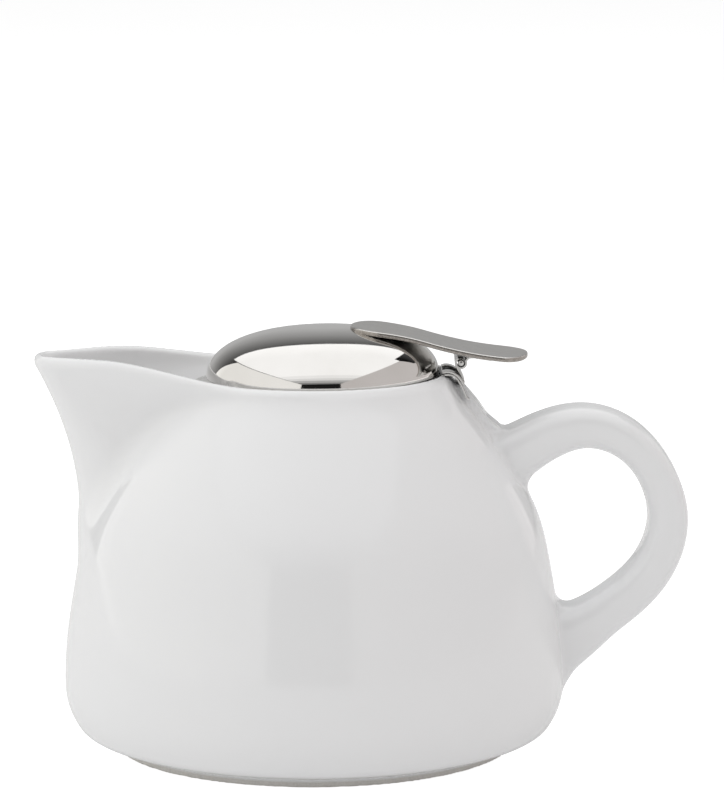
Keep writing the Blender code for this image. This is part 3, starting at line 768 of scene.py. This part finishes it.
cap_top = CAP_FLANGE_Z + CAP_T
skirt_r = CAP_FLANGE_R - CAP_SKIRT_T
# from the axis out over the underside, up, out under the flange, round the skirt and back over the top
cap = turned("lid_cap", [
    (0.0, CAP_BOTTOM_Z), (CAP_R - 1.0, CAP_BOTTOM_Z), (CAP_R - 0.5, CAP_BOTTOM_Z + 0.15),
    (CAP_R - 0.15, CAP_BOTTOM_Z + 0.5), (CAP_R, CAP_BOTTOM_Z + 1.0), (CAP_R + 0.2, CAP_FLANGE_Z - 0.5),
    (CAP_R + 0.4, CAP_FLANGE_Z - 0.15), (CAP_R + 0.8, CAP_FLANGE_Z), (skirt_r - 0.4, CAP_FLANGE_Z),
    (skirt_r - 0.1, CAP_FLANGE_Z - 0.1), (skirt_r, CAP_FLANGE_Z - 0.4), (skirt_r, CAP_SKIRT_Z + 0.15),
    (skirt_r + 0.15, CAP_SKIRT_Z), (CAP_FLANGE_R - 0.15, CAP_SKIRT_Z),
    (CAP_FLANGE_R, CAP_SKIRT_Z + 0.15), (CAP_FLANGE_R, cap_top - 0.4), (CAP_FLANGE_R - 0.4, cap_top),
    (CAP_R - 0.2, cap_top), (CAP_R - 0.55, cap_top - 0.3), (CAP_R - CAP_T, CAP_BOTTOM_Z + 1.3),
    (CAP_R - 1.2, CAP_BOTTOM_Z + CAP_T), (0.0, CAP_BOTTOM_Z + CAP_T)], [polished], centre_x=LID_X)
fit(tilted(cap), "lid", "polished_steel", "lid_inner_cap")

lever_curve = smooth_path(LEVER_TOP, 12)


def lever_z(x):
    """Height of the lever's upper face."""
    return np.interp(x, lever_curve[:, 0], lever_curve[:, 1])


def make_lever():
    """Waved plate made of rings of its outline in plan, from its middle round the edge and back."""
    nose = LEVER_HALF_W * LEVER_FRONT_BLUNT
    tail = LEVER_HALF_W * LEVER_TAIL_BLUNT
    front = LEVER_TOP[0][0] + nose
    back = LEVER_TOP[-1][0] - tail

    def ring(scale, inset):
        wide = (LEVER_HALF_W - inset) * scale
        nose_l = (nose - inset) * scale
        tail_l = (tail - inset) * scale
        straight = np.linspace(back, front, LEVER_SIDE_STEPS)[1:-1]
        turn = np.linspace(-math.pi / 2, math.pi / 2, LEVER_END_STEPS)
        out = [(back + tail_l * math.cos(a), wide * math.sin(a)) for a in turn]
        out += [(x, wide) for x in straight]
        out += [(front - nose_l * math.cos(a), -wide * math.sin(a)) for a in turn]
        out += [(x, -wide) for x in straight[::-1]]
        return out

    def rounding(top):
        bend = np.linspace(0.0, math.pi / 2, LEVER_EDGE_STEPS)
        for a in (bend if top else bend[::-1]):
            inset = LEVER_EDGE * (1 - math.sin(a))
            drop = LEVER_EDGE * (1 - math.cos(a))
            yield 1.0, inset, (-drop if top else drop - LEVER_T)

    inner = [(s, LEVER_EDGE, 0.0) for s in LEVER_RINGS]
    layers = inner + list(rounding(True)) + list(rounding(False))
    layers += [(s, LEVER_EDGE, -LEVER_T) for s, _, _ in inner[::-1]]
    points = []
    for scale, inset, lift in layers:
        for x, y in ring(scale, inset):
            points.append((x, y, lever_z(x) + lift))
    count = len(ring(1.0, 0.0))
    faces = []
    for k in range(len(layers) - 1):
        for i in range(count):
            j = (i + 1) % count
            faces.append((k * count + i, k * count + j, (k + 1) * count + j, (k + 1) * count + i))
    lever = new_mesh("thumb_lever", points, faces, [satin, polished, ground_edge_shade])
    for face in lever.data.polygons:
        # edge faces that rise are polished; those facing sideways or down get painted shade
        if abs(face.normal.z) < FACE_UPRIGHT:
            face.material_index = 1 if face.normal.z > FACE_TOP else 2
    return lever


fit(make_lever(), "lid", "satin_steel", "lid_lever")


def arc(start_deg, end_deg, steps):
    """Points of a curl round the pin; angles start on the handle's side and turn upwards."""
    angles = np.radians(np.linspace(start_deg, end_deg, steps))
    return [(PIN_X + CURL_R * math.cos(a), PIN_Z + CURL_R * math.sin(a)) for a in angles]


under = LEVER_T + SHEET_T / 2 - LEAF_SINK
land = [(x, float(lever_z(x)) - under) for x in LEAF_X]
bend = [(x, PIN_Z + up) for x, up in LEAF_BEND]
bend_down = smooth_path(land[-2:] + bend + arc(LEAF_BEND_DEG, LEAF_BEND_DEG, 1), 5)
curl = arc(LEAF_CURL_DEG, LEAF_CURL_END_DEG, 44)
leaf = strip("hinge_leaf", land, SHEET_T, [(-LEAF_HALF_W, LEAF_HALF_W)], [sheet])
curls = strip("hinge_leaf_curls", [tuple(p) for p in bend_down] + curl, SHEET_T, LEVER_CURLS,
              [sheet, spring_shade])
pin_centre = Vector(to_frame((PIN_X, 0.0, PIN_Z)))
for face in curls.data.polygons:
    out = face.center - pin_centre
    if abs(face.normal.y) < FACE_END and math.hypot(out.x, out.z) < CURL_R * MM:
        face.material_index = 1            # painted shade: the bore of the curl is coloured near black
for piece in (leaf, curls):
    bevel(piece, SHEET_EDGE)
    fit(piece, "lid", "sheet_steel", "lever_hinge_leaf")

# ---------------- hinge pin and rim clip
# (in from the pin's side, past its end)
PIN_END = [(PIN_R, 0.08), (0.3, 0.05), (0.1, -0.03), (0.0, -0.18)]
PIN_SIDES = 48
PIN_SMOOTH_DEG = 50.0

pin_profile = [(PIN_R - i, -PIN_HALF_L - past) for i, past in PIN_END]
pin_profile += [(PIN_R - i, PIN_HALF_L + past) for i, past in PIN_END[::-1]]
turn = np.linspace(0.0, 2 * math.pi, PIN_SIDES, endpoint=False)
pin_points = [(PIN_X + r * math.cos(a), y, PIN_Z + r * math.sin(a))
              for r, y in pin_profile for a in turn]
pin_faces = []
for k in range(len(pin_profile) - 1):
    for i in range(PIN_SIDES):
        here, there = k * PIN_SIDES, (k + 1) * PIN_SIDES
        j = (i + 1) % PIN_SIDES
        pin_faces.append((here + i, here + j, there + j, there + i))
pin = new_mesh("pin", pin_points, pin_faces, [sheet], PIN_SMOOTH_DEG)
fit(pin, "lid_clip", "sheet_steel", "hinge_pin")

CLIP_HALF_W = 6.3
BRACKET = [(29.3, 87.2), (30.3, 87.45), (31.5, 87.3), (32.75, 86.65), (33.8, 85.4), (34.35, 84.4)]
BRACKET_T = 0.5
TONGUE = [(34.45, 84.55), (34.2, 85.45), (33.65, 86.6), (33.05, 87.6), (32.6, 88.6)]
SPRING = [(28.8, 83.45), (28.8, 85.75), (29.25, 86.5), (30.3, 86.8), (31.6, 86.7), (32.65, 86.0),
          (33.5, 84.75), (34.3, 83.15), (34.95, 81.7), (35.5, 81.15)]
TINE_INNER_Y = 4.95
TINE_TOP_Z = 85.1
FORK_X = 32.0                  # the spring is forked beyond this, below the tines' top
SPRING_EDGE = 0.06
WINDOW_HALF_W = 3.2            # the tongue is cut from the bracket's middle, which leaves a window
WINDOW_FROM = 3                # points of the bracket's path before the window ...
WINDOW_LEFT = 9                # ... and after it
BRIDGE_LAP = 0.1
CURL_START_DEG = 192.0
CURL_END_DEG = -60.0

arch = smooth_path(BRACKET, 8)
frame_sides = [(-CLIP_HALF_W, -WINDOW_HALF_W), (WINDOW_HALF_W, CLIP_HALF_W)]
bridge = [(-WINDOW_HALF_W - BRIDGE_LAP, WINDOW_HALF_W + BRIDGE_LAP)]
tongue_path = smooth_path(TONGUE + arc(CURL_START_DEG, CURL_START_DEG, 1), 6)
curl_path = [tuple(p) for p in tongue_path[:-1]] + arc(CURL_START_DEG, CURL_END_DEG, 48)
tongue_range = [(-CLIP_CURL_HALF_W, CLIP_CURL_HALF_W)]
for name, path, thickness, ranges in (
        ("rim_bracket_sides", arch, BRACKET_T, frame_sides),
        ("rim_bracket_lip", arch[:WINDOW_FROM], BRACKET_T, bridge),
        ("rim_bracket_bridge", arch[-WINDOW_LEFT:], BRACKET_T, bridge),
        ("bracket_curl", curl_path, SHEET_T, tongue_range)):
    piece = strip(name, path, thickness, ranges, [sheet])
    bevel(piece, SHEET_EDGE)
    fit(piece, "lid_clip", "sheet_steel", "clip_bracket")

spring_path = smooth_path(SPRING, 8)
fork_from = int(np.argmax((spring_path[:, 0] > FORK_X) & (spring_path[:, 1] < TINE_TOP_Z)))
tine_ranges = [(-CLIP_HALF_W, -TINE_INNER_Y), (TINE_INNER_Y, CLIP_HALF_W)]
for name, path, ranges in (
        ("rim_spring_hook", spring_path[:fork_from + 1], [(-CLIP_HALF_W, CLIP_HALF_W)]),
        ("rim_spring_tines", spring_path[fork_from:], tine_ranges)):
    piece = strip(name, path, SHEET_T, ranges, [spring_shade, sheet])
    for face in piece.data.polygons:
        if abs(face.normal.y) > FACE_END:
            face.material_index = 1        # its cut ends keep the bright sheet, while its faces carry painted shade
    bevel(piece, SPRING_EDGE, 2, 1)
    fit(piece, "lid_clip", "sheet_steel", "clip_spring")

# ---------------- infuser basket
RIM_FLANGE_R = 28.2
RIM_BOTTOM_Z = 83.3
RIM_TOP_Z = 84.1
COLLAR_R = 22.7
COLLAR_T = 0.6
COLLAR_BOTTOM_Z = 72.0
MESH_R = 21.8
MESH_T = 0.5
MESH_TOP_Z = 74.0
BASE_Z = 11.0
BASE_RING_H = 6.0
BASE_RING_R = 22.5
BASE_RING_T = 0.4
BASE_LIP = 2.6
SHOULDER_R = 1.4               # rounding from the rim down into the collar
BASE_R = 1.2                   # rounding of the base ring's foot, outside ...
BASE_INNER_R = 0.8             # ... and inside
SEAM_HALF_W = 2.4
SEAM_T = 0.4
SEAM_COLS = 9
SEAM_ROWS = 24
SEAM_EDGE = 0.1
FIRST_HOOP = 1.4               # height of the lowest hoop over the basket's base
WIRE_PITCH = 0.95
WIRE_R = 0.14
WIRE_SWAY = 0.1                # each wire weaves this far to both sides of the mesh's middle

collar_in = COLLAR_R - COLLAR_T
middle_z = (RIM_TOP_Z + RIM_BOTTOM_Z) / 2
half_t = (RIM_TOP_Z - RIM_BOTTOM_Z) / 2
bead = [(RIM_FLANGE_R - half_t + half_t * math.cos(a), middle_z + half_t * math.sin(a))
        for a in np.linspace(-math.pi / 2, math.pi / 2, 9)]
shoulder = [(collar_in + SHOULDER_R * (1 - math.sin(a)), RIM_TOP_Z - SHOULDER_R * (1 - math.cos(a)))
            for a in np.linspace(0.0, math.pi / 2, 8)]
rim = turned("basket_rim", [(COLLAR_R, COLLAR_BOTTOM_Z), (COLLAR_R, RIM_BOTTOM_Z - 0.5),
                            (COLLAR_R + 0.2, RIM_BOTTOM_Z - 0.1), (COLLAR_R + 0.6, RIM_BOTTOM_Z)]
             + bead + shoulder + [(collar_in, COLLAR_BOTTOM_Z)], [sheet])
fit(rim, "infuser", "sheet_steel", "infuser_rim")

ring_in = BASE_RING_R - BASE_RING_T
flange_z = BASE_Z + BASE_RING_T
corner = [(BASE_RING_R - BASE_R + BASE_R * math.sin(a), BASE_Z + BASE_R - BASE_R * math.cos(a))
          for a in np.linspace(0.0, math.pi / 2, 7)]
inner_corner = [(ring_in - BASE_INNER_R + BASE_INNER_R * math.sin(a),
                 flange_z + BASE_INNER_R - BASE_INNER_R * math.cos(a))
                for a in np.linspace(math.pi / 2, 0.0, 6)]
base = turned("basket_base", [(ring_in - BASE_LIP, flange_z), (ring_in - BASE_LIP, BASE_Z)] + corner
              + [(BASE_RING_R, BASE_Z + BASE_RING_H), (ring_in, BASE_Z + BASE_RING_H)] + inner_corner,
              [sheet])
fit(base, "infuser", "sheet_steel", "infuser_base_ring")


def wires(name, paths, closed):
    """Square wires along paths; each is an array of points with the two sideways directions."""
    points = []
    faces = []
    for path, side, up in paths:
        count = len(path)
        base_index = len(points)
        for p, s, u in zip(path, side, up):
            points += [p + WIRE_R * s, p + WIRE_R * u, p - WIRE_R * s, p - WIRE_R * u]
        for i in range(count if closed else count - 1):
            j = (i + 1) % count
            for k in range(4):
                m = (k + 1) % 4
                faces.append([base_index + q for q in (4 * i + k, 4 * i + m, 4 * j + m, 4 * j + k)])
        if not closed:
            faces.append([base_index + q for q in (0, 1, 2, 3)])
            faces.append([base_index + 4 * (count - 1) + q for q in (3, 2, 1, 0)])
    return new_mesh(name, points, faces, [wire], ALL_SMOOTH_DEG)


UP = np.array([0.0, 0.0, 1.0])
middle_r = MESH_R - MESH_T / 2
# an even number of uprights, so that the weave meets itself
uprights = 2 * round(math.pi * middle_r / WIRE_PITCH)
levels = np.arange(BASE_Z + FIRST_HOOP, MESH_TOP_Z, WIRE_PITCH)
vertical = []
for i in range(uprights):
    a = 2 * math.pi * i / uprights
    outward = np.array([math.cos(a), math.sin(a), 0.0])
    across = np.array([-math.sin(a), math.cos(a), 0.0])
    path = [outward * (middle_r + WIRE_SWAY * (-1) ** (i + k)) + (0.0, 0.0, z)
            for k, z in enumerate(levels)]
    vertical.append((np.array(path), [outward] * len(path), [across] * len(path)))
hoops = []
angles = 2 * math.pi * np.arange(uprights) / uprights
for k, z in enumerate(levels):
    outward = np.stack([np.cos(angles), np.sin(angles), np.zeros(uprights)], axis=1)
    r = middle_r - WIRE_SWAY * (-1.0) ** (np.arange(uprights) + k)
    hoops.append((outward * r[:, None] + (0.0, 0.0, z), outward, [UP] * uprights))
fit(wires("basket_wall_uprights", vertical, False), "infuser", "steel_mesh", "infuser_mesh_wall")
fit(wires("basket_wall_hoops", hoops, True), "infuser", "steel_mesh", "infuser_mesh_wall")

floor_r = MESH_R - MESH_T - GAP
floor_z = flange_z + GAP + MESH_T / 2
steps = np.arange(-floor_r, floor_r, WIRE_PITCH)
floor_wires = []
for along_x in (True, False):
    for i, offset in enumerate(steps):
        reach = math.sqrt(floor_r ** 2 - offset ** 2)
        stops = [(k, s) for k, s in enumerate(steps) if abs(s) <= reach]
        if len(stops) < 2:
            continue
        sway = [WIRE_SWAY * (-1) ** (i + k + along_x) for k, s in stops]
        if along_x:
            path = [(s, offset, floor_z + w) for (k, s), w in zip(stops, sway)]
            across = np.array([0.0, 1.0, 0.0])
        else:
            path = [(offset, s, floor_z + w) for (k, s), w in zip(stops, sway)]
            across = np.array([1.0, 0.0, 0.0])
        floor_wires.append((np.array(path), [across] * len(path), [UP] * len(path)))
fit(wires("basket_floor_weave", floor_wires, False), "infuser", "steel_mesh", "infuser_mesh_floor")

seam_y = MESH_R + GAP
low = BASE_Z + BASE_RING_H + GAP
high = COLLAR_BOTTOM_Z - GAP
seam_turn = np.linspace(-SEAM_HALF_W, SEAM_HALF_W, SEAM_COLS) / seam_y - math.pi / 2
seam_points = [(r * math.cos(a), r * math.sin(a), z) for z in np.linspace(low, high, SEAM_ROWS)
               for r in (seam_y, seam_y + SEAM_T) for a in seam_turn]
row = 2 * SEAM_COLS            # the points of one height: the inner face's, then the outer face's
seam_faces = []
for k in range(SEAM_ROWS - 1):
    for i in range(SEAM_COLS - 1):
        for layer in (0, SEAM_COLS):
            q = k * row + layer + i
            seam_faces.append((q, q + 1, q + row + 1, q + row))
    for i in (0, SEAM_COLS - 1):
        q = k * row + i
        seam_faces.append((q, q + SEAM_COLS, q + row + SEAM_COLS, q + row))
for k in (0, SEAM_ROWS - 1):
    for i in range(SEAM_COLS - 1):
        q = k * row + i
        seam_faces.append((q, q + 1, q + SEAM_COLS + 1, q + SEAM_COLS))
seam = new_mesh("basket_seam", seam_points, seam_faces, [sheet])
bevel(seam, SEAM_EDGE, 2)
fit(seam, "infuser", "sheet_steel", "infuser_seam_strip")


# ---------------- floor, light and camera
def area_light(name, place, target, width, depth, radiance, colour=(1.0, 1.0, 1.0)):
    """A rectangle that shines towards a target with the same radiance all over."""
    light = bpy.data.lights.new(name, 'AREA')
    light.shape = 'RECTANGLE'
    light.size = width
    light.size_y = depth
    light.energy = radiance * math.pi * width * depth
    light.color = colour
    obj = add_object(name, light)
    obj.location = place
    obj.rotation_euler = (Vector(target) - Vector(place)).to_track_quat('-Z', 'Y').to_euler()


FLOOR_SIZE = 5.0
FLOOR_MIDDLE_Y = 1.0           # the floor reaches further behind the pot than in front
FLOOR = 0.3                    # albedo of the floor that is seen ...
FLOOR_GLOW = 0.93              # ... and the light of its own that makes it white
BOUNCE = 0.75                  # albedo of the sheet that lights the pot from below ...
BOUNCE_GLOW = 0.16             # ... and a little light of its own, for the foot
BOUNCE_Z = -0.0003
FLECK = 0.02


def stage_floor(name, level, colour, glow):
    """A wide, level, pale sheet."""
    bpy.ops.mesh.primitive_grid_add(x_subdivisions=8, y_subdivisions=8, size=FLOOR_SIZE,
                                    location=(0.0, FLOOR_MIDDLE_Y, level))
    floor = bpy.context.object
    floor.name = name
    pale = Material(name, (colour,) * 3, 0.7)
    dark, light = (colour * (1 - FLECK),) * 3, (colour * (1 + FLECK),) * 3
    pale.colour(pale.two_tone(pale.noise(0.002), dark, light))
    pale.shader.inputs["Specular IOR Level"].default_value = 0.1
    pale.shader.inputs["Emission Color"].default_value = (1.0, 1.0, 1.0, 1.0)
    pale.shader.inputs["Emission Strength"].default_value = glow
    floor.data.materials.append(pale.mat)
    return floor


# the floor is a lit white sheet, but the pot only receives the softer light of the one under it
white_floor = stage_floor("floor", 0.0, FLOOR, FLOOR_GLOW)
white_floor.visible_diffuse = False
white_floor.visible_glossy = False
white_floor.visible_shadow = False
bounce_floor = stage_floor("bounce_floor", BOUNCE_Z, BOUNCE, BOUNCE_GLOW)
bounce_floor.visible_camera = False

world = bpy.data.worlds.new("studio")
bpy.context.scene.world = world
world.use_nodes = True
nodes = world.node_tree.nodes
links = world.node_tree.links
sky = nodes.new("ShaderNodeTexCoord")
split = nodes.new("ShaderNodeSeparateXYZ")
links.new(sky.outputs["Generated"], split.inputs["Vector"])


def sky_ramp(axis, low, low_level, high, high_level):
    """Grey levels along one axis of the sky's direction."""
    ramp = nodes.new("ShaderNodeValToRGB")
    links.new(split.outputs[axis], ramp.inputs["Fac"])
    for stop, place, level in zip(ramp.color_ramp.elements, (low, high), (low_level, high_level)):
        stop.position = place
        stop.color = (level, level, level, 1.0)
    return ramp.outputs["Color"]


# a light wall behind the pot that darkens upwards, and a dark room in front of it
back_wall = sky_ramp("Z", low=0.15, low_level=0.48, high=0.62, high_level=0.16)
behind = sky_ramp("Y", low=0.5, low_level=0.03, high=0.93, high_level=1.0)
dimmed = nodes.new("ShaderNodeMix")
dimmed.data_type = 'RGBA'
dimmed.blend_type = 'MULTIPLY'
dimmed.inputs["Factor"].default_value = 1.0
links.new(back_wall, dimmed.inputs["A"])
links.new(behind, dimmed.inputs["B"])
# the camera itself sees a plain pale backdrop in place of this room
rays = nodes.new("ShaderNodeLightPath")
backdrop = nodes.new("ShaderNodeMix")
backdrop.data_type = 'RGBA'
backdrop.inputs["B"].default_value = (1.0, 1.0, 1.0, 1.0)
links.new(rays.outputs["Is Camera Ray"], backdrop.inputs["Factor"])
links.new(dimmed.outputs["Result"], backdrop.inputs["A"])
links.new(backdrop.outputs["Result"], nodes["Background"].inputs["Color"])

# the pot stands in a long tunnel of white sheets, open and dark at its end behind the camera
ROOF_Z = 1.33
LEFT_X = -1.24
RIGHT_X = 1.03
TUNNEL_FRONT = -3.2
LEFT_BACK = 1.1
RIGHT_BACK = 0.73
RIGHT_LOW_BACK = 1.45          # a lower wall goes on behind the right one
RIGHT_LOW_TOP = 0.83
SEAM = 0.035                   # dark line between roof and left wall
LEFT = 0.98                    # radiance of the walls
RIGHT = 0.62
WARM = (1.0, 0.99, 0.965)
PINK = (1.0, 0.95, 0.935)
ROOF = (                       # (from y, to y, from the left wall to x, radiance)
    (RIGHT_BACK, 1.57, 0.85, 1.15), (-0.9, RIGHT_BACK, RIGHT_X, 1.15), (-1.34, -0.9, RIGHT_X, 1.02),
    (-1.8, -1.34, RIGHT_X, 0.85), (-2.5, -1.8, RIGHT_X, 0.5), (TUNNEL_FRONT, -2.5, RIGHT_X, 0.25))


def wall(name, x, from_y, to_y, top, radiance, colour):
    """An upright sheet of light that faces the middle of the tunnel."""
    place = (x, (from_y + to_y) / 2, top / 2)
    area_light(name, place, (0.0, place[1], place[2]), to_y - from_y, top, radiance, colour)


for i, (from_y, to_y, to_x, radiance) in enumerate(ROOF):
    place = ((LEFT_X + to_x) / 2, (from_y + to_y) / 2, ROOF_Z)
    area_light(f"roof_{i}", place, (place[0], place[1], 0.0), to_x - LEFT_X, to_y - from_y, radiance)
wall("left_wall", LEFT_X, TUNNEL_FRONT, LEFT_BACK, ROOF_Z - SEAM, LEFT, WARM)
wall("right_wall", RIGHT_X, TUNNEL_FRONT, RIGHT_BACK, ROOF_Z, RIGHT, PINK)
wall("right_wall_low", RIGHT_X, RIGHT_BACK, RIGHT_LOW_BACK, RIGHT_LOW_TOP, RIGHT, PINK)

CAMERA_PLACE = (-0.00024, -0.966, 0.23014)
CAMERA_TILT_DEG = 81.17
LENS_MM = 211.3
SENSOR_MM = 36.0
camera = add_object("camera", bpy.data.cameras.new("camera"))
camera.location = CAMERA_PLACE
camera.rotation_euler = (math.radians(CAMERA_TILT_DEG), 0.0, 0.0)
camera.data.lens = LENS_MM
camera.data.sensor_width = SENSOR_MM
camera.data.sensor_fit = 'HORIZONTAL'
bpy.context.scene.camera = camera
bpy.context.scene.view_settings.view_transform = 'Standard'
